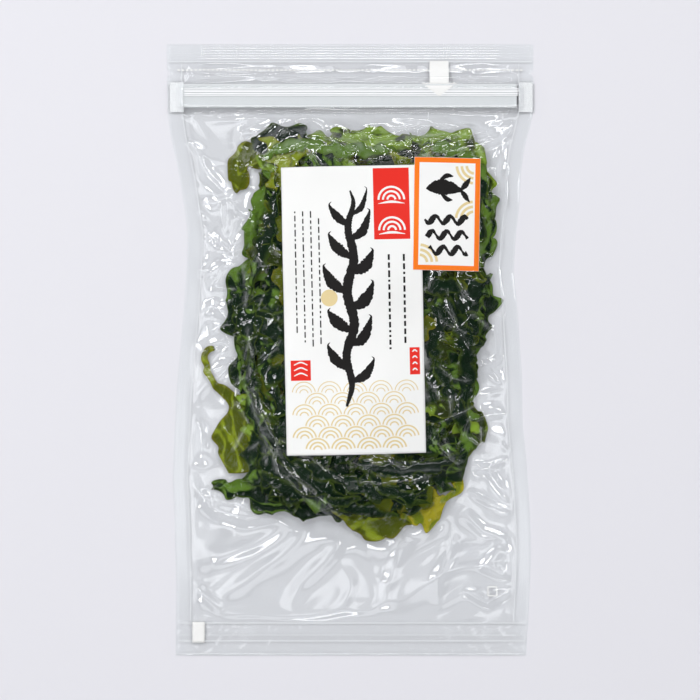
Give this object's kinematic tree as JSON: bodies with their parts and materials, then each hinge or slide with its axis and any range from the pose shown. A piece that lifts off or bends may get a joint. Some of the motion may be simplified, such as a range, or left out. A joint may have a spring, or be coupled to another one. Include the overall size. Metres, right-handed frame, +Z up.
{
  "type": "wakame",
  "caption": "Wet wakame seaweed fronds lying loose in a flat clear zip pouch with a printed paper label.",
  "frame": {"origin": "middle of the pouch's outline, at the underside of the back film, which lies on the ground", "axes": "+Z up through the pouch's thickness; +Y along the pouch, towards its zip; +X across it, to the right as the label is read"},
  "size_m": [0.15, 0.25, 0.0195],
  "materials": {
    "film": "clear film",
    "zip_plastic": "clear, milky where it is thick",
    "label_paper": "coated, printed",
    "season_paper": "coated, printed",
    "frond_dark": "wet, slick, dark green",
    "frond_green": "wet, slick, green",
    "frond_olive": "wet, slick, olive",
    "frond_yellow": "wet, slick, yellow olive"
  },
  "bodies": {
    "root": {"back_film": "film", "corner_tag": "label_paper", "frond_bottom_lens": "frond_dark", "frond_bottom_olive": "frond_olive", "frond_bottom_yellow": "frond_yellow", "frond_far_left": "frond_olive", "frond_left_foot": "frond_dark", "frond_left_low": "frond_dark", "frond_left_middle": "frond_dark", "frond_left_upper": "frond_dark", "frond_low_strand": "frond_yellow", "frond_middle_1": "frond_olive", "frond_middle_2": "frond_dark", "frond_middle_3": "frond_dark", "frond_middle_4": "frond_dark", "frond_middle_5": "frond_green", "frond_middle_6": "frond_dark", "frond_middle_7": "frond_dark", "frond_middle_8": "frond_olive", "frond_middle_9": "frond_dark", "frond_right_crest": "frond_green", "frond_right_knee": "frond_dark", "frond_right_low": "frond_green", "frond_right_shoulder": "frond_dark", "frond_right_tip": "frond_dark", "frond_stem_hook": "frond_olive", "frond_top_bright": "frond_green", "frond_top_corner": "frond_dark", "frond_top_middle": "frond_green", "frond_top_right": "frond_green", "frond_under_1": "frond_green", "frond_under_10": "frond_dark", "frond_under_11": "frond_olive", "frond_under_12": "frond_dark", "frond_under_2": "frond_dark", "frond_under_3": "frond_dark", "frond_under_4": "frond_olive", "frond_under_5": "frond_dark", "frond_under_6": "frond_dark", "frond_under_7": "frond_dark", "frond_under_8": "frond_green", "frond_under_9": "frond_dark", "frond_upper_1": "frond_green", "frond_upper_10": "frond_dark", "frond_upper_2": "frond_dark", "frond_upper_3": "frond_dark", "frond_upper_4": "frond_olive", "frond_upper_5": "frond_dark", "frond_upper_6": "frond_dark", "frond_upper_7": "frond_dark", "frond_upper_8": "frond_green", "frond_upper_9": "frond_dark", "front_film": "film", "main_label": "label_paper", "season_sticker": "season_paper", "zip_groove": "zip_plastic", "zip_rib": "zip_plastic"}
  },
  "joints": []
}
